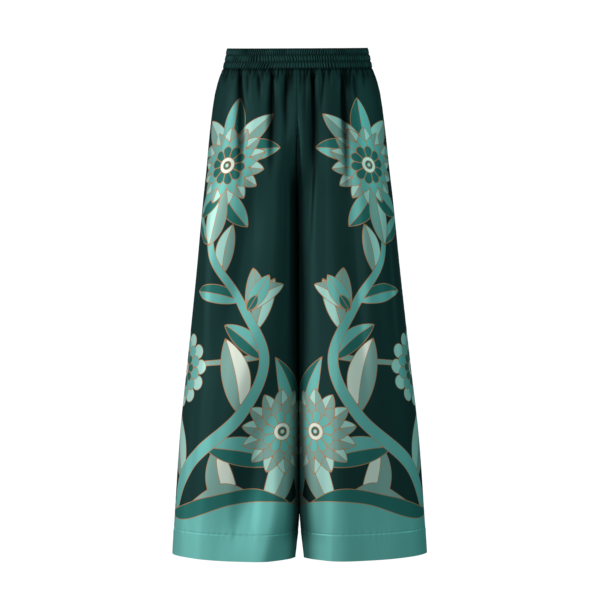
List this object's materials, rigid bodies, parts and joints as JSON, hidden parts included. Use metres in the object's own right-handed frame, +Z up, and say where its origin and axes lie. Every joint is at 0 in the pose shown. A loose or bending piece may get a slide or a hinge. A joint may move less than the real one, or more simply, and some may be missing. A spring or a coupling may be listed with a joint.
{
  "type": "palazzo pants",
  "caption": "Wide-leg pull-on palazzo pants with an elasticated waistband, gathered front and back panels and deep turned-up hems, filled out and hollow.",
  "frame": {"origin": "centre of the waist, half-way up the waistband at the side seams", "axes": "+Z up, front faces -Y, wearer's left leg at +X"},
  "size_m": [0.5254, 0.2462, 1.0542],
  "materials": {
    "satin": "glossy printed satin, dark green with teal, sage, mint and cream",
    "waistband_satin": "dark green satin, finely puckered over elastic",
    "hem_satin": "plain teal satin"
  },
  "bodies": {
    "root": {"waistband": "waistband_satin", "front_left": "satin", "front_right": "satin", "back_left": "satin", "back_right": "satin", "hem_left": "hem_satin", "hem_right": "hem_satin"}
  },
  "joints": []
}
